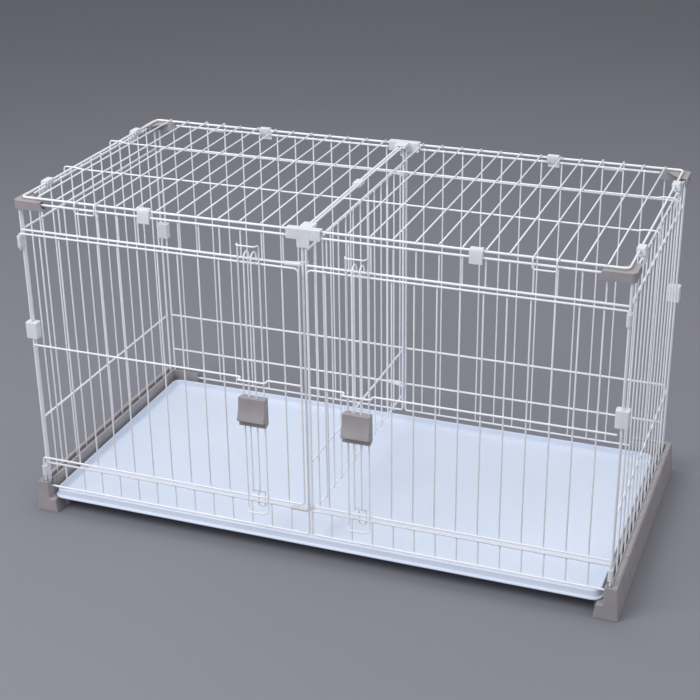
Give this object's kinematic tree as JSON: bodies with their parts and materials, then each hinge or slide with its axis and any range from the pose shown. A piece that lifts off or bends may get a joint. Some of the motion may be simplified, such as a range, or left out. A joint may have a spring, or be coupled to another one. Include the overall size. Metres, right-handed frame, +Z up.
{
  "type": "wire dog crate",
  "caption": "Wide wire pet crate split into bays by a divider, with a lift-off wire roof, hinged front doors with sliding bolt latches, and a pull-out tray on a plastic base.",
  "frame": {"origin": "on the floor, under the middle of the crate's bounding box", "axes": "+Z up, the doors face -Y, +X to the right of someone facing the doors"},
  "size_m": [1.245, 0.6356, 0.7023],
  "materials": {
    "wire_coating": "smooth white powder coat, satin",
    "base_plastic": "fine-grained warm grey moulding",
    "clip_plastic": "milky translucent moulding",
    "tray_plastic": "smooth cool-white moulding, slightly glossy"
  },
  "bodies": {
    "crate": {"foot_front_left": "base_plastic", "foot_front_right": "base_plastic", "foot_back_left": "base_plastic", "foot_back_right": "base_plastic", "base_rail_left": "base_plastic", "base_rail_right": "base_plastic", "front_frame_left": "wire_coating", "front_frame_right": "wire_coating", "back_panel_left": "wire_coating", "back_panel_right": "wire_coating", "side_panel_left": "wire_coating", "side_panel_right": "wire_coating", "divider_panel": "wire_coating", "divider_joint_front_top": "clip_plastic", "divider_joint_front_bottom": "clip_plastic", "divider_joint_back_top": "clip_plastic", "divider_joint_back_bottom": "clip_plastic", "hinge_sleeve_left_top": "clip_plastic", "hinge_sleeve_left_bottom": "clip_plastic", "hinge_sleeve_right_top": "clip_plastic", "hinge_sleeve_right_bottom": "clip_plastic", "corner_cap_front_left": "base_plastic", "corner_cap_front_right": "base_plastic", "corner_cap_back_left": "base_plastic", "corner_cap_back_right": "base_plastic", "corner_clip_front_left": "clip_plastic", "corner_clip_front_right": "clip_plastic", "corner_clip_back_left": "clip_plastic", "corner_clip_back_right": "clip_plastic"},
    "roof": {"roof_panel_left": "wire_coating", "roof_panel_right": "wire_coating", "roof_clip_front_left": "clip_plastic", "roof_clip_front_right": "clip_plastic", "roof_clip_back_left": "clip_plastic", "roof_clip_back_right": "clip_plastic", "roof_clip_left_near": "clip_plastic", "roof_clip_left_far": "clip_plastic", "roof_clip_right_near": "clip_plastic", "roof_clip_right_far": "clip_plastic", "roof_clip_centre": "clip_plastic", "top_connector_front": "clip_plastic", "top_connector_back": "clip_plastic"},
    "tray": {"tray": "tray_plastic"},
    "door_left": {"door_left": "wire_coating"},
    "latch_left": {"latch_bolt_left": "wire_coating", "latch_grip_front_left": "base_plastic", "latch_grip_back_left": "base_plastic"},
    "door_right": {"door_right": "wire_coating"},
    "latch_right": {"latch_bolt_right": "wire_coating", "latch_grip_front_right": "base_plastic", "latch_grip_back_right": "base_plastic"}
  },
  "joints": [
    {"name": "roof_lift", "type": "slide", "parent": "crate", "child": "roof", "axis": [0, 0, 1], "range_m": [0, 0.35]},
    {"name": "tray_slide", "type": "slide", "parent": "crate", "child": "tray", "axis": [0, -1, 0], "range_m": [0, 0.5]},
    {"name": "door_hinge_left", "type": "hinge", "parent": "crate", "child": "door_left", "pos_m": [-0.601, -0.29075, 0.386], "axis": [0, 0, -1], "range_deg": [0, 175]},
    {"name": "door_hinge_right", "type": "hinge", "parent": "crate", "child": "door_right", "pos_m": [0.601, -0.29075, 0.386], "axis": [0, 0, 1], "range_deg": [0, 175]},
    {"name": "latch_lift_left", "type": "slide", "parent": "door_left", "child": "latch_left", "axis": [0, 0, 1], "range_m": [0, 0.02]},
    {"name": "latch_lift_right", "type": "slide", "parent": "door_right", "child": "latch_right", "axis": [0, 0, 1], "range_m": [0, 0.02]}
  ]
}
